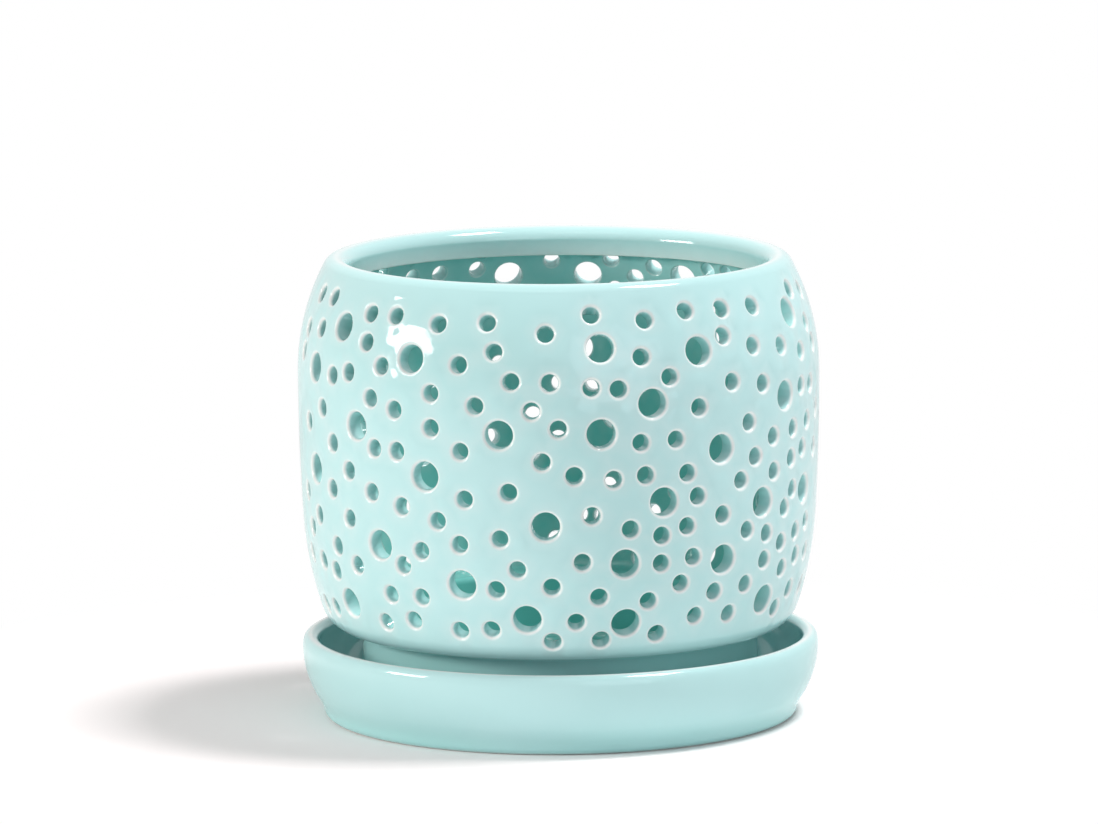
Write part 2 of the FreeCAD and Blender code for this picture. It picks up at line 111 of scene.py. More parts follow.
# Thin and pooled shares of the glaze, ring by ring from the wall's face into a hole's bore
OUTER_SHARES = ((0.5, 0.03), (0.85, 0.06), (0.45, 0.09), (0.0, 0.12))
INNER_SHARES = ((0.5, 0.45), (0.3, 0.45), (0.0, 0.45))
EDGE_THIN_SHARE = 0.1
# Painted shade inside the pot, drawn as pooled glaze between two heights: darkest below the first, paler
# at the second under the lip. Over the foot, pooled glaze on the floor inside; under it, painted shade on
# the foot beneath the belly
INNER_SHADE_HEIGHTS = (85.0 * MM, 112.0 * MM)
INNER_SHADE_SHARES = (1.0, 0.3)
SHELF_SHARE, FOOT_SHADE_SHARE = 1.0, 0.3
# Pale lines at the lip's inner edge and crest and at the saucer's rim: glaze that thins there, and painted
# highlight
TIP_REACH = 0.45 * MM
CREST_REACH = 1.0 * MM
CREST_PALE_AND_HIGHLIGHT_SHARE = 0.5
RIM_REACH = 0.7 * MM
RIM_PALE_AND_HIGHLIGHT_SHARE = 0.8
# Pooled share in the saucer, which also paints shade under the pot, and the shares where the glaze thins
# and pools at its foot
DISH_POOL_AND_SHADE_SHARE = 0.1
GROUND_THIN_SHARE, CREASE_POOL_SHARE = 0.7, 0.3
# Detail and evenness of the noises, shade of the clay's grains, and what the grains add
BROAD_DETAIL, FINE_DETAIL, WAVE_DETAIL = 2.0, 3.0, 1.0
NOISE_EVEN = 0.5
CLAY_SHADE = 0.86
GRAIN_RELIEF_SHARE, GRAIN_GLOSS_SHARE = 0.03, 0.03
GLAZE_IOR = 1.5
SENSOR_WIDTH = 36.0
FARTHEST = 50.0
# How far the holes stay under the ledge inside the lip
LEDGE_CLEAR = 0.25 * MM
# How far from a bore's mouth its wall is looked for, along the section and along the bore
NEAR_WALL = 8.0 * MM
BORE_OVER = 2.0 * MM
BORE_REACH = 14.0 * MM


def length(name, description, millimetres):
    """A size that shows in the sidebar, its default given in millimetres."""
    return bpy.props.FloatProperty(
        name=name,
        description=description,
        default=millimetres * MM,
        min=0.0,
        precision=4,
        subtype="DISTANCE",
        unit="LENGTH",
    )


def share(name, description, value):
    """A share from nought to one that shows in the sidebar."""
    return bpy.props.FloatProperty(
        name=name, description=description, default=value, min=0.0, max=1.0, subtype="FACTOR"
    )


def colour(name, description, value):
    """A colour that shows in the sidebar."""
    return bpy.props.FloatVectorProperty(
        name=name, description=description, default=value, min=0.0, max=1.0, size=3, subtype="COLOR"
    )


def amount(name, description, value):
    """A plain number from nought up that shows in the sidebar."""
    return bpy.props.FloatProperty(
        name=name, description=description, default=value, min=0.0, subtype="UNSIGNED"
    )


def power(name, description, watts):
    """A light's power that shows in the sidebar."""
    return bpy.props.FloatProperty(
        name=name, description=description, default=watts, min=0.0, subtype="POWER", unit="POWER"
    )


def angle(name, description, degrees):
    """An angle that shows in the sidebar, its default given in degrees."""
    return bpy.props.FloatProperty(
        name=name, description=description, default=math.radians(degrees), subtype="ANGLE", unit="ROTATION"
    )


def position(name, description, metres):
    """A place in the row's frame that shows in the sidebar."""
    return bpy.props.FloatVectorProperty(
        name=name, description=description, default=metres, subtype="TRANSLATION", unit="LENGTH"
    )


def span(name, description, metres):
    """The two sides of a light that show in the sidebar."""
    return bpy.props.FloatVectorProperty(
        name=name, description=description, default=metres, min=0.0, size=2, unit="LENGTH"
    )


class PotSizes(bpy.types.PropertyGroup):
    """Sizes of the pot's section and of the mouths of its holes."""

    radius: length("Radius", "Radius at the widest ring", 70.0)
    widest: length("Widest height", "Height of the widest ring over the foot", 88.3)
    shoulder_bow: length("Shoulder bow", "Radius of the shoulder's curve", 61.6)
    shoulder_top: length("Shoulder top", "Height where the lip begins", 117.46)
    lip_bead: length("Lip bead", "Radius of the rolled lip", 3.6)
    lip_drop: length("Lip drop", "Height of the lip's inner face", 4.3)
    lip_flare: length("Lip flare", "How far the lip's inner face leans outwards", 0.5)
    flank_bow: length("Flank bow", "Radius of the flank's curve", 685.0)
    hip: length("Hip height", "Height where the flank meets the belly", 50.8)
    belly_bow: length("Belly bow", "Radius of the belly's curve", 99.6)
    haunch: length("Haunch height", "Height where the belly meets the turn", 24.5)
    turn_bow: length("Turn bow", "Radius of the turn under the belly", 7.6)
    wall: length("Wall", "Thickness of the wall", 5.0)
    foot_radius: length("Foot radius", "Outer radius of the foot", 53.2)
    foot_wall: length("Foot wall", "Thickness of the foot's wall", 5.0)
    foot_recess: length("Foot recess", "Depth of the hollow under the floor", 1.5)
    foot_edge: length("Foot edge", "Rounding of the foot's edge", 1.0)
    floor: length("Floor", "Thickness of the floor", 5.0)
    cove: length("Cove", "Rounding between the floor and the foot's wall", 3.0)
    shelf: length("Shelf", "Width of the flat ring inside, over the underside", 3.6)
    shelf_round: length("Shelf rounding", "Rounding of the shelf's inner edge", 1.6)
    root_round: length("Root rounding", "Rounding between the foot and the underside", 1.2)
    drain: length("Drain", "Radius of the drain hole", 7.0)
    drain_round: length("Drain rounding", "Rounding of the drain hole's upper edge", 0.9)
    lead: length("Lead", "Length of the short straight runs beside rounded corners", 2.0)
    soft: length("Soft corner", "Rounding of the small corners", 0.5)
    pierced: share("Pierced share", "How much of the turn under the belly the pierced wall covers", 0.66)
    mouth_round: length("Mouth rounding", "Width of the rounding at each hole's mouth", 1.0)
    mouth_depth: length("Mouth depth", "Depth of the rounding at each hole's mouth", 1.1)
    inner_round: length("Inner rounding", "Rounding of each hole's inner edge", 0.5)
    dimple: length("Dimple", "How far the wall sinks towards each hole", 0.3)
    dimple_reach: length("Dimple reach", "How far from a hole the wall still sinks", 1.7)
    uneven: share("Uneven holes", "How much the sizes of the holes differ", 0.05)
    weave: length("Weave", "Distance between the mesh's points on the wall", 2.6)
    clear: length("Clear", "Least distance of those points from the holes and the edges", 1.3)


class SaucerSizes(bpy.types.PropertyGroup):
    """Sizes of the saucer's section."""

    radius: length("Radius", "Radius at the widest ring", 69.5)
    widest: length("Widest height", "Height of the widest ring", 19.2)
    bow: length("Wall bow", "Radius of the wall's curve", 25.8)
    wall: length("Wall", "Thickness of the wall", 4.4)
    floor: length("Floor", "Height of the floor", 4.7)
    cove: length("Cove", "Rounding between the floor and the wall", 4.0)
    rim_bow: length("Rim bow", "Radius of the rim's outer curve", 4.8)
    rim_turn: length("Rim turn", "Height where the rim rolls inwards", 20.54)
    rim_bead: length("Rim bead", "Radius of the rolled rim", 2.2)
    crease: length("Crease height", "Height where the wall begins to turn into the foot band", 6.6)
    band_radius: length("Band radius", "Radius of the foot band", 63.9)
    band_height: length("Band height", "Height of the foot band's side", 3.2)
    band_corner: length("Band corner", "Rounding of the foot band", 2.2)
    ring: length("Ring", "Width of the ring it stands on", 4.6)
    recess: length("Recess", "Depth of the hollow underneath", 1.2)
    slope: length("Recess slope", "Width of the slope into the hollow", 1.0)
    lead: length("Lead", "Length of the short straight run beside the slope", 3.0)
    soft: length("Soft corner", "Rounding of the small corners", 0.4)
    bare: length("Bare height", "Height over the ground where the glaze is wiped off", 0.06)


class GlazeColours(bpy.types.PropertyGroup):
    """Colours and gloss of the glaze."""

    body: colour("Body", "Glaze where it lies evenly", (0.515, 0.775, 0.778))
    # Pooled glaze, and painted shade inside the pot, beneath its belly and in the saucer
    deep_and_shade: colour("Deep", "Glaze where it has pooled", (0.21, 0.59, 0.55))
    # Glaze where it thins on edges, and painted highlight along the lip and the saucer's rim
    thin: colour("Thin", "Glaze where an edge has drawn it thin", (0.95, 0.9, 0.88))
    bisque: colour("Bisque", "Bare fired clay under the foot", (0.93, 0.87, 0.76))
    gloss: share("Roughness", "Roughness of the glaze", 0.08)
    dull: share("Bare roughness", "Roughness of the bare clay", 0.75)
    clouds: amount("Clouds", "Broad patches of the glaze, in features a metre", 18.0)
    cloudy: share("Cloudiness", "How far the broad patches change the colour", 0.5)
    grains: amount("Grains", "Fine grains of the glaze, in features a metre", 260.0)
    patchy: share("Patchy edges", "How far the fine grains break up the thin edges", 0.5)
    waves: amount("Waves", "Waves of the glaze's surface, in features a metre", 42.0)
    relief: length("Relief", "Height of those waves", 1.2)
    relief_share: share("Relief share", "How much of the relief shows", 0.12)


class StageLook(bpy.types.PropertyGroup):
    """Floor, lights and camera."""

    floor: colour("Floor", "Colour of the floor", (0.9, 0.9, 0.9))
    floor_half: length("Floor half", "Half the floor's side", 500.0)
    white_from: length("White from", "How far from the middle the floor begins to fade into white", 135.0)
    white_at: length("White at", "How far from the middle the floor is white", 210.0)
    floor_shown: colour("Floor shown", "Colour of the floor as the camera sees it", (1.0, 0.935, 0.935))
    ambient: amount("Ambient", "Strength of the light from all sides", 0.39)
    mirrored: amount("Mirrored room", "Brightness of the room as the glaze mirrors it", 0.9)
    window: power("Window light", "Power of the soft window at the left", 5.2)
    window_place: position("Window place", "Middle of the window", (-0.965, -0.3, 0.36))
    window_size: span("Window size", "Width and height of the window", (0.38, 0.25))
    window_tint: colour("Window tint", "Colour of the window's light", (1.0, 0.98, 0.94))
    top: power("Top light", "Power of the soft light above on the right", 8.3)
    top_place: position("Top place", "Middle of the top light", (0.42, 0.01, 1.05))
    top_size: span("Top size", "Width and depth of the top light", (0.24, 0.24))
    top_tint: colour("Top tint", "Colour of the top light", (1.0, 1.0, 1.0))
    ceiling: power("Ceiling light", "Power of the soft light high in front", 0.5)
    ceiling_place: position("Ceiling place", "Middle of the ceiling light", (-0.2, -0.45, 1.1))
    ceiling_size: span("Ceiling size", "Width and depth of the ceiling light", (0.6, 0.3))
    ceiling_tint: colour("Ceiling tint", "Colour of the ceiling light", (1.0, 1.0, 1.0))
    card: power("Card light", "Power of the pale card in front on the right", 1.4)
    card_place: position("Card place", "Middle of the card", (0.444, -0.952, 0.284))
    card_size: span("Card size", "Width and height of the card", (0.6, 0.6))
    card_tint: colour("Card tint", "Colour of the card's light", (0.86, 0.93, 1.0))
    lens: bpy.props.FloatProperty(
        name="Lens",
        description="Focal length of the camera",
        default=268.2,
        min=1.0,
        subtype="DISTANCE_CAMERA",
    )
    distance: bpy.props.FloatProperty(
        name="Distance", description="How far off the camera stands", default=2.2, min=0.1, unit="LENGTH"
    )
    lift: angle("Lift", "How high round the camera stands", 9.236)
    raised: length("Raised", "How far the camera stands above that", 60.0)
    lean: angle("Lean", "How far the camera leans", -0.43)
    aim: position("Aim", "Point that the camera looks at", (-0.00263, 0.0, 0.08159))


# Outputs and inputs of nodes that are known by number
OBJECT_PLACE, ATTRIBUTE_SHARE, MIX_COLOUR = 3, 2, 2
MIX_FIRST, MIX_SECOND, LENGTH_OUT = 6, 7, 1


class Value:
    """A socket in a finish, so that shader maths reads as plain sums."""

    def __init__(self, finish, socket):
        self.finish = finish
        self.socket = socket

    def _sum(self, operation, first, second, clamp=False):
        settings = {"operation": operation, "use_clamp": clamp}
        return self.finish.node("ShaderNodeMath", settings, {0: first, 1: second})

    def __add__(self, other):
        return self._sum("ADD", self, other)

    def __radd__(self, other):
        return self._sum("ADD", other, self)

    def __sub__(self, other):
        return self._sum("SUBTRACT", self, other)

    def __rsub__(self, other):
        return self._sum("SUBTRACT", other, self)

    def __mul__(self, other):
        return self._sum("MULTIPLY", self, other)

    def __rmul__(self, other):
        return self._sum("MULTIPLY", other, self)

    def kept(self):
        """The value kept between nought and one."""
        return self._sum("ADD", self, 0.0, clamp=True)


class Finish:
    """A material that is written as a few plain calls."""

    def __init__(self, name):
        self.material = bpy.data.materials.new(name)
        self.material.use_nodes = True
        self.tree = self.material.node_tree
        self.tree.nodes.clear()

    def node(self, kind, settings=None, inputs=None, output=0):
        """Adds a node: its settings first, then its sockets, each a number, a colour or a value."""
        made = self.tree.nodes.new(kind)
        for key, setting in (settings or {}).items():
            setattr(made, key, setting)
        for key, given in (inputs or {}).items():
            if isinstance(given, Value):
                self.tree.links.new(given.socket, made.inputs[key])
            else:
                made.inputs[key].default_value = given
        return Value(self, made.outputs[output])

    def blend(self, factor, first, second):
        """A colour between two colours."""
        settings = {"data_type": "RGBA", "clamp_factor": True}
        inputs = {0: factor, MIX_FIRST: first, MIX_SECOND: second}
        return self.node("ShaderNodeMix", settings, inputs, MIX_COLOUR)

    def painted(self, name):
        """A share that the mesh carries at its points."""
        settings = {"attribute_type": "GEOMETRY", "attribute_name": name}
        return self.node("ShaderNodeAttribute", settings, output=ATTRIBUTE_SHARE)

    def noise(self, scale, detail, where):
        """Soft noise from nought to one, its scale in features a metre."""
        inputs = {"Vector": where, "Scale": scale, "Detail": detail, "Roughness": NOISE_EVEN}
        return self.node("ShaderNodeTexNoise", {"noise_dimensions": "3D"}, inputs)

    def end(self, shader):
        """Joins the shader to the material's output."""
        out = self.tree.nodes.new("ShaderNodeOutputMaterial")
        self.tree.links.new(shader.socket, out.inputs["Surface"])
        return self.material


def opaque(rgb):
    """A colour with its alpha."""
    return (*rgb, 1.0)


def make_glaze(look):
    """Glossy pale glaze that thins to cream on edges and pools deeper in hollows; its pale edge colour
    also paints highlights along the lip and the saucer's rim, and its pooled colour paints shade inside
    the pot, beneath its belly and in the saucer.
    """
    finish = Finish("celadon_glaze")
    place = finish.node("ShaderNodeTexCoord", output=OBJECT_PLACE)
    thin = finish.painted("thin")
    pool = finish.painted("pool")
    bare = finish.painted("bare")
    broad = finish.noise(look.clouds, BROAD_DETAIL, place)
    fine = finish.noise(look.grains, FINE_DETAIL, place)
    # The pooled share mixes in painted shade inside the pot, beneath its belly and in the saucer
    body = finish.blend((broad - 0.5) * look.cloudy + pool, opaque(look.body), opaque(look.deep_and_shade))
    # The pale edge share mixes in painted highlights along the lip and the saucer's rim
    edge = (thin + (fine - 0.5) * look.patchy * thin).kept()
    glazed = finish.blend(edge, body, opaque(look.thin))
    clay = finish.blend(fine, opaque(look.bisque), opaque(CLAY_SHADE * Vector(look.bisque)))
    base = finish.blend(bare, glazed, clay)
    height = finish.noise(look.waves, WAVE_DETAIL, place) + fine * GRAIN_RELIEF_SHARE
    bump = finish.node(
        "ShaderNodeBump",
        inputs={"Strength": look.relief_share, "Distance": look.relief, "Height": height},
    )
    grainy = (fine - 0.5) * GRAIN_GLOSS_SHARE
    roughness = (bare * (look.dull - look.gloss) + grainy + look.gloss).kept()
    shader = finish.node(
        "ShaderNodeBsdfPrincipled",
        inputs={"Base Color": base, "Roughness": roughness, "IOR": GLAZE_IOR, "Normal": bump},
    )
    return finish.end(shader)


def bow(centre, radius, start, end, step):
    """Points along an arc of a section, as (radius, height) pairs."""
    count = max(3, math.ceil(abs(end - start) * radius / step))
    angles = np.linspace(start, end, count + 1)
    return [(centre[0] + radius * math.cos(a), centre[1] + radius * math.sin(a)) for a in angles]


def chain(*runs):
    """Joins runs of points into one outline, without its doubled points."""
    points = []
    for run in runs:
        for point in run:
            if not points or math.dist(points[-1], point) > SAME_POINT:
                points.append(point)
    return points


def swept(before, corner, after, steps=4):
    """A smooth curve of a section that leaves one point and reaches another, drawn to a corner."""
    b, c, a = (np.array(p, float) for p in (before, corner, after))
    shares = np.linspace(0.0, 1.0, steps + 1)
    return [tuple((1 - s) ** 2 * b + 2 * s * (1 - s) * c + s * s * a) for s in shares]


def rounded(before, corner, after, radius):
    """A corner of a section replaced by a small smooth curve."""
    b, c, a = (np.array(p, float) for p in (before, corner, after))
    b = c + (b - c) / np.linalg.norm(b - c) * radius
    a = c + (a - c) / np.linalg.norm(a - c) * radius
    return swept(b, c, a)


class Skin:
    """A turned surface given by its outline; a place on it is a turn and a way along the outline."""

    def __init__(self, outline, side):
        self.r, self.z = np.array(outline, float).T
        self.way = np.concatenate([[0.0], np.cumsum(np.hypot(np.diff(self.r), np.diff(self.z)))])
        self.side = side
        self.dimples = None
        self.top = self.way[-1]

    def section(self, way):
        """Radius and height at a way along the outline, smooth between its points."""
        return np.interp(way, self.way, self.r), np.interp(way, self.way, self.z)

    def flat(self, turn, way):
        """Place in space, before the wall sinks towards its holes."""
        r, z = self.section(way)
        return np.stack([r * np.sin(turn), -r * np.cos(turn), z], -1)

    def facing(self, way):
        """Direction in which the surface faces in its section, as (outwards, upwards)."""
        r1, z1 = self.section(np.clip(way + FACING_REACH, 0.0, self.way[-1]))
        r0, z0 = self.section(np.clip(way - FACING_REACH, 0.0, self.way[-1]))
        size = np.hypot(r1 - r0, z1 - z0)
        return self.side * (z1 - z0) / size, self.side * (r0 - r1) / size

    def places(self, turn, way):
        """Places in space, sunk towards the holes where the skin has dimples."""
        spots = self.flat(turn, way)
        if self.dimples is None:
            return spots
        out, up = self.facing(way)
        facing = np.stack([out * np.sin(turn), -out * np.cos(turn), up], -1)
        return spots - facing * self.dimples(self, turn, way)[:, None]

    def normals(self, turn, way):
        """Direction in which the surface faces at each place."""
        aside = NORMAL_STEP / self.r.max()
        across = self.places(turn + aside, way) - self.places(turn - aside, way)
        above = np.minimum(way + NORMAL_STEP, self.way[-1])
        below = np.maximum(way - NORMAL_STEP, 0.0)
        along = self.places(turn, above) - self.places(turn, below)
        found = np.cross(across, along)
        return self.side * found / np.linalg.norm(found, axis=1)[:, None]

    def drop(self, hole, across, up):
        """Turn and way of the places that lie off a hole's axis by the given distances."""
        window = np.abs(self.way - self.way_near(hole)) < BORE_REACH
        high = (self.r[window] - hole.r) * hole.lift[0] + (self.z[window] - hole.z) * hole.lift[1]
        way = np.minimum(np.interp(up, high, self.way[window]), self.top)
        return hole.turn + np.arcsin(across / self.section(way)[0]), way

    def way_near(self, hole):
        """Way to where a hole's axis meets this skin."""
        off = np.abs((self.r - hole.r) * hole.lift[0] + (self.z - hole.z) * hole.lift[1])
        depth = (hole.r - self.r) * hole.axis[0] + (hole.z - self.z) * hole.axis[1]
        off[(depth < -BORE_OVER) | (depth > BORE_REACH)] = 1.0
        return self.way[int(np.argmin(off))]


class Hole:
    """One round hole: where its axis meets the outside of the wall, its direction and radius."""

    def __init__(self, turn, r, z, axis, radius):
        self.turn = turn
        self.r, self.z = r, z
        self.axis = axis
        self.lift = (-axis[1], axis[0])
        self.radius = radius
        self.round = None
        self.sides = SMALL_SIDES if radius < LARGE_HOLE else LARGE_SIDES

    def mouth(self):
        """Where the hole's axis meets the outside of the wall, in space."""
        return self.r * math.sin(self.turn), -self.r * math.cos(self.turn), self.z

    def inward(self):
        """Unit direction from the mouth into the wall, in space."""
        out, up = self.axis
        return np.array([-out * math.sin(self.turn), out * math.cos(self.turn), -up])

    def ring(self, reach):
        """Distances off the axis, across and up, of the points of a ring round the hole."""
        spots = np.arange(self.sides) * FULL / self.sides
        return reach * np.cos(spots), reach * np.sin(spots)


def read_holes(sizes, outer, foot):
    """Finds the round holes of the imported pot: its faces that run straight through the wall."""
    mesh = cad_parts["pot"].data
    mesh.calc_loop_triangles()
    spots = np.empty(len(mesh.vertices) * 3)
    mesh.vertices.foreach_get("co", spots)
    spots = spots.reshape(-1, 3) - np.array([0.0, 0.0, foot])
    corners = np.empty(len(mesh.loop_triangles) * 3, int)
    mesh.loop_triangles.foreach_get("vertices", corners)
    corners = corners.reshape(-1, 3)
    first, second, third = (spots[corners[:, k]] for k in range(3))
    square = np.cross(second - first, third - first)
    size = np.linalg.norm(square, axis=1)
    middle = (first + second + third) / 3.0
    reach = np.hypot(middle[:, 0], middle[:, 1])
    out, up = outer.facing(np.interp(middle[:, 2], outer.z, outer.way))
    along = square[:, 0] * out * middle[:, 0] + square[:, 1] * out * middle[:, 1]
    along = np.abs(along / reach + square[:, 2] * up) / np.maximum(size, LEAST_SIZE)
    depth = (np.interp(middle[:, 2], outer.z, outer.r) - reach) * out
    through = (along < BORE_LEAN) & (depth < sizes.wall + WALL_OVER) & (size > LEAST_TRIANGLE)
    through &= (middle[:, 2] > outer.z[0]) & (middle[:, 2] < outer.z[-1])
    chosen = corners[through]
    cells = np.round(spots / SAME_PLACE).astype(int)
    number = np.unique(cells, axis=0, return_inverse=True)[1].ravel()
    group = list(range(int(number.max()) + 1))

    def root(k):
        while group[k] != k:
            group[k] = group[group[k]]
            k = group[k]
        return k

    for a, b, c in number[chosen].tolist():
        group[root(a)] = group[root(b)] = root(c)
    members = {}
    for face in chosen.tolist():
        members.setdefault(root(int(number[face[0]])), set()).update(face)
    found = [settle(spots[list(walls)], outer) for walls in members.values()]
    found = sorted((h for h in found if h is not None), key=lambda h: h.radius)
    holes = []
    for hole in found:
        if all(math.dist(hole.mouth(), other.mouth()) > other.radius for other in holes):
            holes.append(hole)
    return sorted(holes, key=lambda h: (round(h.z, 5), h.turn))


def settle(ring, outer):
    """Fits a hole to the points of its wall: the axis is square to the pot's outside."""
    middle = ring.mean(0)
    turn = math.atan2(middle[0], -middle[1])
    radius = math.hypot(middle[0], middle[1])
    out, up = outer.facing(outer.way)
    lift = (outer.r - radius) * -up + (outer.z - middle[2]) * out
    away = np.hypot(outer.r - radius, outer.z - middle[2])
    lift[away > NEAR_WALL] = 1.0
    best = int(np.argmin(np.abs(lift)))
    axis = (float(out[best]), float(up[best]))
    side = np.array([math.cos(turn), math.sin(turn), 0.0])
    rise = np.array([-axis[1] * math.sin(turn), axis[1] * math.cos(turn), axis[0]])
    flat = np.column_stack([(ring - middle) @ side, (ring - middle) @ rise])
    terms = np.column_stack([2.0 * flat, np.ones(len(flat))])
    fit = np.linalg.lstsq(terms, (flat**2).sum(1), rcond=None)[0]
    size = math.sqrt(fit[2] + fit[0] ** 2 + fit[1] ** 2)
    spread = np.abs(np.hypot(flat[:, 0] - fit[0], flat[:, 1] - fit[1]) - size).max()
    if spread > ROUND_WITHIN or not LEAST_HOLE < size < WIDEST_HOLE:
        return None
    turn += fit[0] / radius
    r = radius - axis[1] * fit[1]
    z = middle[2] + axis[0] * fit[1]
    off = (outer.r - r) * -axis[1] + (outer.z - z) * axis[0]
    off[np.hypot(outer.r - r, outer.z - z) > NEAR_WALL] = 1.0
    at = int(np.argmin(np.abs(off)))
    return Hole(turn, float(outer.r[at]), float(outer.z[at]), axis, size)


class Body:
    """The mesh of one piece as it grows: points with their normals and glaze shares, which also carry
    painted shade and painted highlight, and faces.
    """

    def __init__(self):
        self.spots, self.normals, self.shares, self.faces = [], [], [], []
        self.count = 0

    def add(self, spots, normals, thin=0.0, pool=0.0, bare=0.0):
        """Adds points and returns their numbers; each share is one number or one for each point."""
        size = len(spots)
        shares = [np.broadcast_to(np.asarray(s, float), (size,)) for s in (thin, pool, bare)]
        self.spots.append(spots)
        self.normals.append(normals)
        self.shares.append(np.stack(shares, -1))
        self.count += size
        return np.arange(self.count - size, self.count)

    def band(self, lower, upper, turned=False):
        """Joins two closed rings of as many points with one band of faces."""
        a, b = np.roll(lower, -1), np.roll(upper, -1)
        quads = np.stack([lower, a, b, upper], -1)
        self.faces.extend((quads[:, ::-1] if turned else quads).tolist())

    def lathe(self, outline, first=None, last=None, shares=None):
        """Turns an outline once round, from a ring that is there to one that is there, if given."""
        points = np.array(outline, float)
        angles = np.arange(SIDES) * FULL / SIDES
        around = np.stack([np.sin(angles), -np.cos(angles)], -1)
        slope = np.gradient(points, axis=0)
        facing = np.stack([slope[:, 1], -slope[:, 0]], -1)
        facing /= np.linalg.norm(facing, axis=1)[:, None]
        rings = []
        for k, (r, z) in enumerate(points):
            if k == 0 and first is not None:
                rings.append(first)
                continue
            if k == len(points) - 1 and last is not None:
                rings.append(last)
                continue
            spots = np.column_stack([r * around, np.full(SIDES, z)])
            normals = np.column_stack([facing[k, 0] * around, np.full(SIDES, facing[k, 1])])
            given = shares(r, z) if shares else (0.0, 0.0, 0.0)
            rings.append(self.add(spots, normals, *given))
        for lower, upper in zip(rings, rings[1:]):
            self.band(lower, upper)
        return rings

    def build(self, name, material, lift):
        """Makes the piece's object, raised to where it stands."""
        mesh = bpy.data.meshes.new(name)
        spots = np.concatenate(self.spots) + np.array([0.0, 0.0, lift])
        mesh.from_pydata(spots.tolist(), [], self.faces)
        mesh.update()
        mesh.shade_smooth()
        shares = np.concatenate(self.shares)
        for column, word in enumerate(("thin", "pool", "bare")):
            layer = mesh.attributes.new(word, "FLOAT", "POINT")
            layer.data.foreach_set("value", np.ascontiguousarray(shares[:, column], np.float32))
        mesh.normals_split_custom_set_from_vertices(np.concatenate(self.normals).tolist())
        mesh.materials.append(material)
        piece = bpy.data.objects.new(name, mesh)
        bpy.context.scene.collection.objects.link(piece)
        return piece


def near(point, target, reach):
    """A share that is one at a target point of a section and fades out over a reach."""
    return math.exp(-((math.dist(point, target) / reach) ** 2))


def scatter(skin, holes, grain, clear):
    """Even points, as (across, way) pairs, over the wall between its holes and its edges."""
    scale = skin.r.max()
    girth = FULL * scale
    tall = skin.way[-1]
    rows = int((tall - clear) / (ROW_SHARE * grain))
    columns = int(girth / grain)
    chance = random.Random(POINT_SEED)
    centres = np.array([(h.turn % FULL * scale, skin.way_near(h), h.radius + h.round) for h in holes])
    points = []
    for row in range(rows + 1):
        level = clear * EDGE_SHARE + (tall - 2.0 * clear * EDGE_SHARE) * row / rows
        for k in range(columns):
            across = k + 0.5 * (row % 2) + JITTER_SHARE * (chance.random() - 0.5)
            across = across * girth / columns % girth
            way = level + JITTER_SHARE * grain * (chance.random() - 0.5) * (0 < row < rows)
            side = np.abs(centres[:, 0] - across)
            side = np.minimum(side, girth - side) * skin.section(way)[0] / scale
            if (np.hypot(side, centres[:, 1] - way) > centres[:, 2] + clear).all():
                points.append((across, way))
    return np.array(points)


def stitch(body, skin, holes, rings, edges, grain, clear):
    """Fills a turned wall between its holes and its two edge rings with even triangles."""
    scale = skin.r.max()
    girth = FULL * scale
    seam = SEAM_SHARE * clear
    laid, names, borders = [], [], []

    def put(turns, ways, numbers, closed):
        """Lays down one ring or edge, and again past the seam where it lies near it."""
        across = np.asarray(turns) * scale
        for shift in (-girth, 0.0, girth):
            moved = across + shift
            if not closed or (moved.max() > -seam and moved.min() < girth + seam):
                start, count = len(laid), len(moved)
                laid.extend(zip(moved, ways))
                names.extend(numbers)
                for k in range(count if closed else count - 1):
                    borders.append((start + k, start + (k + 1) % count))

    for turns, ways, numbers in rings:
        put(turns, ways, numbers, True)
    angles = np.arange(SIDES) * FULL / SIDES
    for way, numbers in zip((0.0, skin.way[-1]), edges):
        put(angles, np.full(SIDES, way), numbers, False)
    extra = scatter(skin, holes, grain, clear)
    turns, ways = extra[:, 0] / scale, extra[:, 1]
    spots = skin.places(turns, ways)
    # Inside the pot the points take painted shade, darker further down
    pool = 0.0 if skin.side > 0 else inner_shade_share(spots)
    numbers = body.add(spots, skin.normals(turns, ways), pool=pool)
    for shift in (-girth, 0.0, girth):
        beside = (extra[:, 0] + shift > -seam) & (extra[:, 0] + shift < girth + seam)
        laid.extend(zip(extra[beside, 0] + shift, extra[beside, 1]))
        names.extend(numbers[beside])
    flat = [Vector((across / MM, way / MM)) for across, way in laid]
    corners_at, _, triangles, origin = delaunay_2d_cdt(flat, borders, [], 0, LAYOUT_EXACT, True)[:4]
    keys = [int(names[k[0]]) if k else None for k in origin]
    owner = {int(number): index for index, ring in enumerate(rings) for number in ring[2]}
    for triangle in triangles:
        across = sum(corners_at[k][0] for k in triangle) / 3.0 * MM
        if not 0.0 <= across < girth:
            continue
        corners = [keys[k] for k in triangle]
        owners = {owner.get(c, -1 - c) for c in corners}
        if len(owners) > 1 and len(set(corners)) == 3:
            body.faces.append(corners if skin.side > 0 else corners[::-1])


def inner_shade_share(places):
    """Painted shade inside the pot, drawn with the pooled colour: paler under the lip, darkest from
    half-way down.
    """
    return np.interp(places[:, 2], INNER_SHADE_HEIGHTS, INNER_SHADE_SHARES)


def room_for(holes, widest):
    """Gives every hole's rounding its width, narrower where a neighbour stands close."""
    spots = np.array([h.mouth() for h in holes])
    radii = np.array([h.radius for h in holes])
    for index, hole in enumerate(holes):
        gap = np.linalg.norm(spots - spots[index], axis=1) - radii - hole.radius
        gap[index] = 1.0
        hole.round = min(widest, 0.5 * gap.min() - ROUND_GAP)


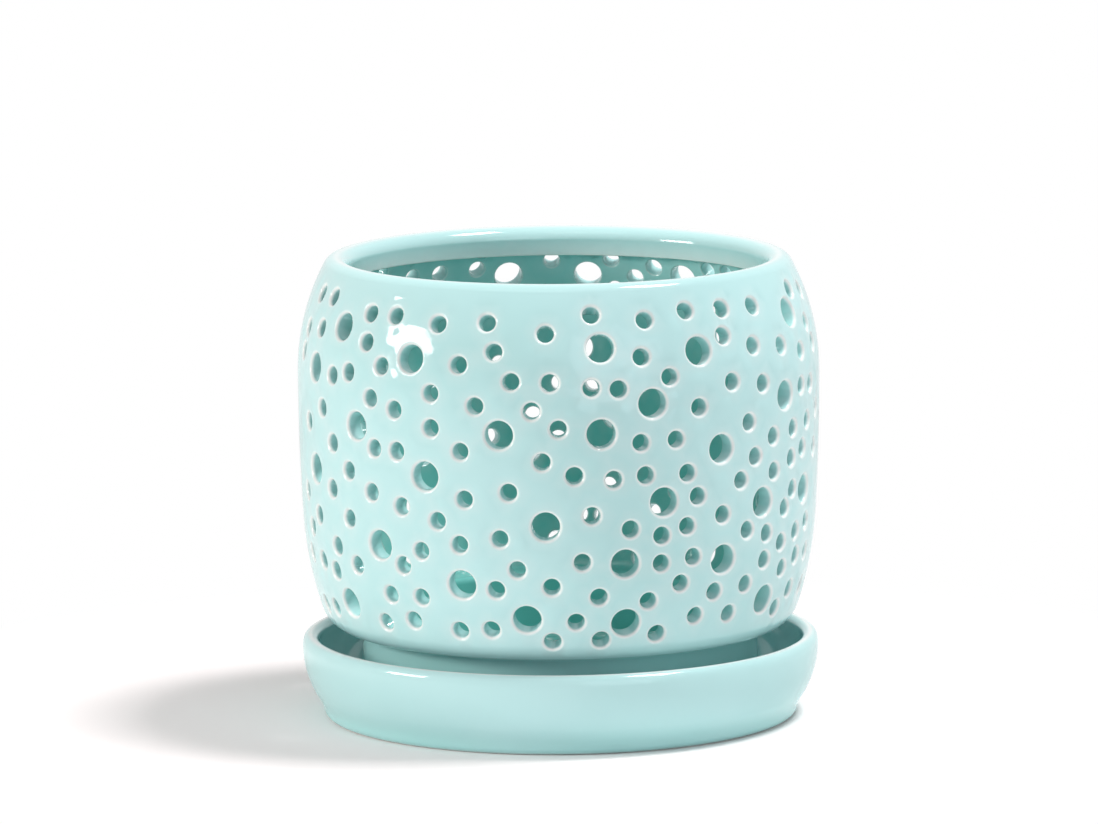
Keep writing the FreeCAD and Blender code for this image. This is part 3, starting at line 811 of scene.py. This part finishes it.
def dimples_of(holes, depth, reach):
    """How far the wall sinks at a place, from how near it is to the holes."""
    spots = np.array([h.mouth() for h in holes])
    edges = np.array([h.radius + h.round for h in holes])

    def sink(skin, turn, way):
        places = skin.flat(np.asarray(turn), np.asarray(way))
        total = np.zeros(len(places))
        for start in range(0, len(places), AT_ONCE):
            part = places[start : start + AT_ONCE]
            off = np.linalg.norm(part[:, None] - spots[None], axis=2) - edges
            total[start : start + AT_ONCE] = np.exp(-((np.maximum(off, 0.0) / reach) ** 2)).sum(1)
        return depth * np.minimum(total, DIMPLES_SHARE)

    return sink


def pot_outlines(s):
    """The pot's outlines: outer wall, inner wall, and the runs that join them over lip and foot."""
    rise = math.asin((s.shoulder_top - s.widest) / s.shoulder_bow)
    dip = math.asin((s.hip - s.widest) / s.flank_bow)
    shoulder = (s.radius - s.shoulder_bow, s.widest)
    flank = (s.radius - s.flank_bow, s.widest)
    back = s.flank_bow - s.belly_bow
    belly = (flank[0] + back * math.cos(dip), flank[1] + back * math.sin(dip))
    low = math.asin((s.haunch - belly[1]) / s.belly_bow)
    back = s.belly_bow - s.turn_bow
    turn = (belly[0] + back * math.cos(low), belly[1] + back * math.sin(low))
    under = turn[1] - s.turn_bow
    start = low - s.pierced * (low + QUARTER)
    parts = [
        (turn, s.turn_bow, start, low),
        (belly, s.belly_bow, low, dip),
        (flank, s.flank_bow, dip, 0.0),
        (shoulder, s.shoulder_bow, 0.0, rise),
    ]
    outer = chain(*[bow(c, r, a, b, FINE_STEP) for c, r, a, b in parts])
    bead = (
        shoulder[0] + (s.shoulder_bow - s.lip_bead) * math.cos(rise),
        shoulder[1] + (s.shoulder_bow - s.lip_bead) * math.sin(rise),
    )
    edge = (bead[0] - s.lip_bead + s.lip_flare, bead[1] - s.lip_drop)
    inner_rise = math.asin((edge[1] - s.widest) / (s.shoulder_bow - s.wall))
    ledge = (shoulder[0] + (s.shoulder_bow - s.wall) * math.cos(inner_rise), edge[1])
    tip = rounded((bead[0] - s.lip_bead, bead[1]), edge, ledge, s.soft)
    shelf = under + s.wall
    inner = chain(
        [(turn[0] - s.shelf, shelf), (turn[0], shelf)],
        bow(turn, s.turn_bow - s.wall, -QUARTER, low, FINE_STEP),
        bow(belly, s.belly_bow - s.wall, low, dip, FINE_STEP),
        bow(flank, s.flank_bow - s.wall, dip, 0.0, FINE_STEP),
        bow(shoulder, s.shoulder_bow - s.wall, 0.0, inner_rise, FINE_STEP),
        [ledge, tip[-1]],
    )
    lip = chain(bow(bead, s.lip_bead, rise, math.pi, LIP_STEP), tip)
    inside = s.foot_radius - s.foot_wall
    floor = s.foot_recess + s.floor
    drain, recess = (s.drain, floor), (s.drain, s.foot_recess)
    hollow, ring = (inside, s.foot_recess), (inside, 0.0)
    side, root = (s.foot_radius, s.foot_edge), (s.foot_radius, under)
    foot = chain(
        [inner[0]],
        rounded((inside + s.lead, shelf), (inside, shelf), (inside, floor), s.shelf_round),
        bow((inside - s.cove, floor + s.cove), s.cove, 0.0, -QUARTER, CURVE_STEP),
        np.linspace((inside - s.cove, floor), (s.drain + s.lead, floor), FLOOR_POINTS).tolist(),
        rounded((s.drain + s.lead, floor), drain, recess, s.drain_round),
        rounded(drain, recess, hollow, s.soft),
        rounded(recess, hollow, ring, s.soft),
        rounded(hollow, ring, (s.foot_radius, 0.0), s.soft),
        bow((s.foot_radius - s.foot_edge, s.foot_edge), s.foot_edge, -QUARTER, 0.0, EDGE_STEP),
        np.linspace(side, (s.foot_radius, under - s.root_round), SIDE_POINTS).tolist(),
        rounded(side, root, (turn[0], under), s.root_round),
        bow(turn, s.turn_bow, -QUARTER, start, CURVE_STEP),
    )
    return outer, inner, lip, foot


class ORCHID_OT_pot(bpy.types.Operator):
    """Build the pot: its pierced wall, rolled lip, floor and foot in one glazed mesh"""

    bl_idname = "orchid.pot"
    bl_label = "Pot"

    def execute(self, context):
        s = context.scene.orchid_pot
        foot_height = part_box("pot")[0].z
        outer_line, inner_line, lip_line, foot_line = pot_outlines(s)
        outer = Skin(outer_line, 1)
        inner = Skin(inner_line, -1)
        inner.top = inner.way[-2] - LEDGE_CLEAR
        holes = read_holes(s, outer, foot_height)
        if len(holes) < LEAST_COUNT:
            raise RuntimeError("only %d holes were found in the packed pot" % len(holes))
        chance = random.Random(SIZE_SEED)
        for hole in holes:
            hole.radius *= 1.0 + s.uneven * (chance.random() - 0.5)
        room_for(holes, s.mouth_round)
        outer.dimples = dimples_of(holes, s.dimple, s.dimple_reach)
        body = Body()
        outer_rings, inner_rings = [], []
        for hole in holes:
            outer_rings.append(self.mouth(body, outer, hole, hole.round, s.mouth_depth, OUTER_SHARES))
            inner_rings.append(self.mouth(body, inner, hole, s.inner_round, s.inner_round, INNER_SHARES))
        angles = np.arange(SIDES) * FULL / SIDES
        edges = []
        for skin in (outer, inner):
            pair = []
            for way in (0.0, skin.way[-1]):
                ways = np.full(SIDES, way)
                laid = skin.places(angles, ways)
                # Inside the pot the edge rings take painted shade by height
                pool = inner_shade_share(laid) if skin is inner else 0.0
                pair.append(body.add(laid, skin.normals(angles, ways), pool=pool))
            edges.append(pair)
        for hole, outside, inside in zip(holes, outer_rings, inner_rings):
            body.band(outside[1], inside[1])
        stitch(body, outer, holes, [r[0] for r in outer_rings], edges[0], s.weave, s.clear)
        stitch(body, inner, holes, [r[0] for r in inner_rings], edges[1], s.weave, s.clear)
        tip = lip_line[-3]
        crest = max(lip_line, key=lambda point: point[1])

        def lip_shares(r, z):
            # Pale lines at the lip's inner edge and crest: glaze that thins there, and painted highlight
            thin = near((r, z), tip, TIP_REACH) + CREST_PALE_AND_HIGHLIGHT_SHARE * near((r, z), crest, CREST_REACH)
            return (min(1.0, thin), 0.0, 0.0)

        body.lathe(lip_line, edges[0][1], edges[1][1], lip_shares)

        def foot_shares(r, z):
            inside = z > s.foot_recess + s.soft and r < s.foot_radius - s.soft
            # Pooled glaze on the floor inside the pot; painted shade on the foot and underside beneath the
            # belly
            return (0.0, SHELF_SHARE if inside else FOOT_SHADE_SHARE, 1.0 if z < s.soft else 0.0)

        body.lathe(foot_line, edges[1][0], edges[0][0], foot_shares)
        piece = body.build("orchid_pot", glaze_of(context), foot_height)
        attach(piece, "pot")
        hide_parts("pot")
        return {"FINISHED"}

    def mouth(self, body, skin, hole, width, depth, shares):
        """Rounds a hole's edge on one skin; returns its place on the skin and its deepest ring."""
        side = skin.side
        axis = -hole.inward()
        across, up = hole.ring(hole.radius + width)
        turns, ways = skin.drop(hole, across, up)
        base = skin.places(turns, ways)
        facing = skin.normals(turns, ways)
        # Inside the pot the wall round a hole takes painted shade by height
        pool = 0.0 if side > 0 else inner_shade_share(base)
        edge = body.add(base, facing, thin=EDGE_THIN_SHARE, pool=pool)
        previous = edge
        for k, (thin, pool) in enumerate(shares):
            bend = QUARTER * (k + 1) / len(shares)
            across, up = hole.ring(hole.radius + width * (1.0 - math.sin(bend)))
            here = skin.drop(hole, across, up)
            sunk = side * depth * (1.0 - math.cos(bend))
            spots = skin.places(*here) - axis * sunk
            inward = base.mean(0) - spots
            inward -= np.outer(inward @ axis, axis)
            inward /= np.linalg.norm(inward, axis=1)[:, None]
            tilted = facing * width * math.cos(bend) + inward * depth * math.sin(bend)
            tilted /= np.linalg.norm(tilted, axis=1)[:, None]
            ring = body.add(spots, tilted, thin=thin, pool=pool)
            body.band(previous, ring, turned=side < 0)
            previous = ring
        return (turns, ways, edge), previous


def saucer_outline(s):
    """The saucer's closed outline, from the middle underneath round the outside to the floor."""
    level = s.widest
    centre = (s.radius - s.bow, level)
    dip = math.asin((s.crease - level) / s.bow)
    rim = (s.radius - s.rim_bow, level)
    rise = math.asin((s.rim_turn - level) / s.rim_bow)
    back = s.rim_bow - s.rim_bead
    bead = (rim[0] + back * math.cos(rise), rim[1] + back * math.sin(rise))
    inner = s.bow - s.wall
    low = math.asin((s.floor + s.cove - level) / (inner - s.cove))
    cove = (centre[0] + (inner - s.cove) * math.cos(low), s.floor + s.cove)
    ring = s.band_radius - s.band_corner - s.ring
    hollow = ring - s.slope
    start = (centre[0] + s.bow * math.cos(dip), s.crease)
    band = (s.band_radius, s.band_height)
    return chain(
        [(HUB, s.recess)],
        np.linspace((HUB_SHARE * hollow, s.recess), (hollow - s.lead, s.recess), UNDER_POINTS).tolist(),
        rounded((hollow - s.lead, s.recess), (hollow, s.recess), (ring, 0.0), s.soft),
        rounded((hollow, s.recess), (ring, 0.0), (s.band_radius, 0.0), s.soft),
        bow((s.band_radius - s.band_corner, s.band_corner), s.band_corner, -QUARTER, 0.0, RIM_STEP),
        swept((s.band_radius, s.band_corner), band, start, CREASE_STEPS),
        bow(centre, s.bow, dip, 0.0, CURVE_STEP),
        bow(rim, s.rim_bow, 0.0, rise, RIM_STEP),
        bow(bead, s.rim_bead, rise, math.pi, RIM_STEP),
        bow(centre, inner, 0.0, low, WALL_STEP),
        bow(cove, s.cove, low, -QUARTER, COVE_STEP),
        np.linspace((cove[0], s.floor), (HUB, s.floor), DISH_POINTS).tolist(),
    )


class ORCHID_OT_saucer(bpy.types.Operator):
    """Build the saucer with its rolled rim and rounded foot band"""

    bl_idname = "orchid.saucer"
    bl_label = "Saucer"

    def execute(self, context):
        s = context.scene.orchid_saucer
        outline = saucer_outline(s)
        body = Body()
        crest = max(outline, key=lambda point: point[1])
        middle = (s.radius - s.bow, s.widest)

        def shares(r, z):
            hollow = z > s.recess + s.soft
            under = r < s.band_radius - s.ring and not hollow
            within = r < middle[0] or math.dist((r, z), middle) < s.bow - 0.5 * s.wall
            # Pale line on the rim's crest: glaze that thins there, and painted highlight
            thin, pool = RIM_PALE_AND_HIGHLIGHT_SHARE * near((r, z), crest, RIM_REACH), 0.0
            # Inside the saucer under the pot: pooled glaze, and painted shade
            if hollow and within and z < s.widest:
                pool = DISH_POOL_AND_SHADE_SHARE
            elif r > s.band_radius - s.band_corner:
                thin += GROUND_THIN_SHARE * math.exp(-((z / s.soft) ** 2))
                pool = CREASE_POOL_SHARE * math.exp(-((z / s.crease) ** 2))
            return (thin, pool, 1.0 if under or z < s.bare else 0.0)

        rings = body.lathe(outline, shares=shares)
        body.faces.append(rings[0][::-1].tolist())
        body.faces.append(rings[-1].tolist())
        piece = body.build("orchid_saucer", glaze_of(context), 0.0)
        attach(piece, "saucer")
        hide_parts("saucer")
        return {"FINISHED"}


def glaze_of(context):
    """The one glaze that pot and saucer share."""
    return bpy.data.materials.get("celadon_glaze") or make_glaze(context.scene.orchid_glaze)


def soft_box(name, look):
    """A large soft light that faces the pot."""
    data = bpy.data.lights.new(name, "AREA")
    data.shape = "RECTANGLE"
    data.size, data.size_y = getattr(look, name + "_size")
    data.energy = getattr(look, name)
    data.color = getattr(look, name + "_tint")
    light = bpy.data.objects.new(name + "_light", data)
    bpy.context.scene.collection.objects.link(light)
    light.location = getattr(look, name + "_place")
    light.rotation_euler = (Vector(look.aim) - light.location).to_track_quat("-Z", "Y").to_euler()
    return light


def make_floor_finish(look):
    """A pale floor that the camera sees as white, apart from the object's soft shadow."""
    finish = Finish("pale_floor")
    plain = finish.node("ShaderNodeBsdfDiffuse", inputs={"Color": opaque(look.floor)})
    shown = finish.node("ShaderNodeBsdfDiffuse", inputs={"Color": opaque(look.floor_shown)})
    white = finish.node("ShaderNodeEmission", inputs={"Color": WHITE, "Strength": 1.0})
    place = finish.node("ShaderNodeTexCoord", output=OBJECT_PLACE)
    away = finish.node("ShaderNodeVectorMath", {"operation": "LENGTH"}, {0: place}, LENGTH_OUT)
    far = ((away - look.white_from) * (1.0 / (look.white_at - look.white_from))).kept()
    seen = finish.node("ShaderNodeMixShader", inputs={0: far, 1: shown, 2: white})
    camera = finish.node("ShaderNodeLightPath")
    return finish.end(finish.node("ShaderNodeMixShader", inputs={0: camera, 1: plain, 2: seen}))


def make_room(look):
    """A world that is white to the camera, and softer where it lights and mirrors in the glaze."""
    world = bpy.data.worlds.new("white_room")
    world.use_nodes = True
    nodes, links = world.node_tree.nodes, world.node_tree.links
    nodes.clear()
    path = nodes.new("ShaderNodeLightPath")
    shade = None
    for strength, sort in ((look.ambient, None), (look.mirrored, "Is Glossy Ray"), (1.0, "Is Camera Ray")):
        room = nodes.new("ShaderNodeBackground")
        room.inputs["Color"].default_value = WHITE
        room.inputs["Strength"].default_value = strength
        if shade is None:
            shade = room
            continue
        mix = nodes.new("ShaderNodeMixShader")
        links.new(path.outputs[sort], mix.inputs[0])
        links.new(shade.outputs[0], mix.inputs[1])
        links.new(room.outputs[0], mix.inputs[2])
        shade = mix
    out = nodes.new("ShaderNodeOutputWorld")
    links.new(shade.outputs[0], out.inputs[0])
    return world


class ORCHID_OT_stage(bpy.types.Operator):
    """Lay the pale floor and set the soft lights, the world and the camera"""

    bl_idname = "orchid.stage"
    bl_label = "Stage"

    def execute(self, context):
        look = context.scene.orchid_stage
        mesh = bpy.data.meshes.new("pale_floor")
        half = look.floor_half
        corners = [(-half, -half, 0.0), (half, -half, 0.0), (half, half, 0.0), (-half, half, 0.0)]
        mesh.from_pydata(corners, [], [(0, 1, 2, 3)])
        mesh.materials.append(make_floor_finish(look))
        floor = bpy.data.objects.new("pale_floor", mesh)
        context.scene.collection.objects.link(floor)
        for name in ("window", "top", "ceiling", "card"):
            soft_box(name, look)
        context.scene.world = make_room(look)
        self.camera(context, look)
        context.scene.view_settings.view_transform = "Standard"
        return {"FINISHED"}

    def camera(self, context, look):
        """Sets the camera at the photograph's viewing angle."""
        aim = Vector(look.aim)
        rise = look.distance * math.sin(look.lift) + look.raised
        place = Vector((aim.x, -look.distance * math.cos(look.lift), rise))
        forward = (aim - place).normalized()
        level = forward.cross(Vector((0.0, 0.0, 1.0))).normalized()
        up = level.cross(forward)
        right = math.cos(look.lean) * level + math.sin(look.lean) * up
        up = right.cross(forward)
        data = bpy.data.cameras.new("camera")
        data.lens = look.lens
        data.sensor_width = SENSOR_WIDTH
        data.clip_end = FARTHEST
        camera = bpy.data.objects.new("camera", data)
        context.scene.collection.objects.link(camera)
        turn = Matrix((right, up, -forward)).transposed()
        camera.matrix_world = Matrix.Translation(place) @ turn.to_4x4()
        context.scene.camera = camera


class ORCHID_PT_panel(bpy.types.Panel):
    """Builds the pieces and holds their sizes, colours and lights"""

    bl_label = "Orchid pot"
    bl_idname = "ORCHID_PT_panel"
    bl_space_type = "VIEW_3D"
    bl_region_type = "UI"
    bl_category = "Orchid pot"

    def draw(self, context):
        for operator in OPERATORS:
            self.layout.operator(operator.bl_idname)
        for group in GROUPS:
            box = self.layout.box()
            settings = getattr(context.scene, group)
            for name in settings.bl_rna.properties.keys():
                if name not in ("rna_type", "name"):
                    box.prop(settings, name)


GROUPS = {
    "orchid_pot": PotSizes,
    "orchid_saucer": SaucerSizes,
    "orchid_glaze": GlazeColours,
    "orchid_stage": StageLook,
}
OPERATORS = (ORCHID_OT_saucer, ORCHID_OT_pot, ORCHID_OT_stage)


def register():
    """Adds the settings, operators and panel."""
    for name, group in GROUPS.items():
        bpy.utils.register_class(group)
        setattr(bpy.types.Scene, name, bpy.props.PointerProperty(type=group))
    for kind in (*OPERATORS, ORCHID_PT_panel):
        bpy.utils.register_class(kind)


def unregister():
    """Takes them away again."""
    for kind in (ORCHID_PT_panel, *reversed(OPERATORS)):
        bpy.utils.unregister_class(kind)
    for name, group in reversed(list(GROUPS.items())):
        delattr(bpy.types.Scene, name)
        bpy.utils.unregister_class(group)


def main():
    """Builds the pieces and the stage."""
    register()
    bpy.ops.orchid.saucer()
    bpy.ops.orchid.pot()
    bpy.ops.orchid.stage()


if __name__ == "__main__":
    main()
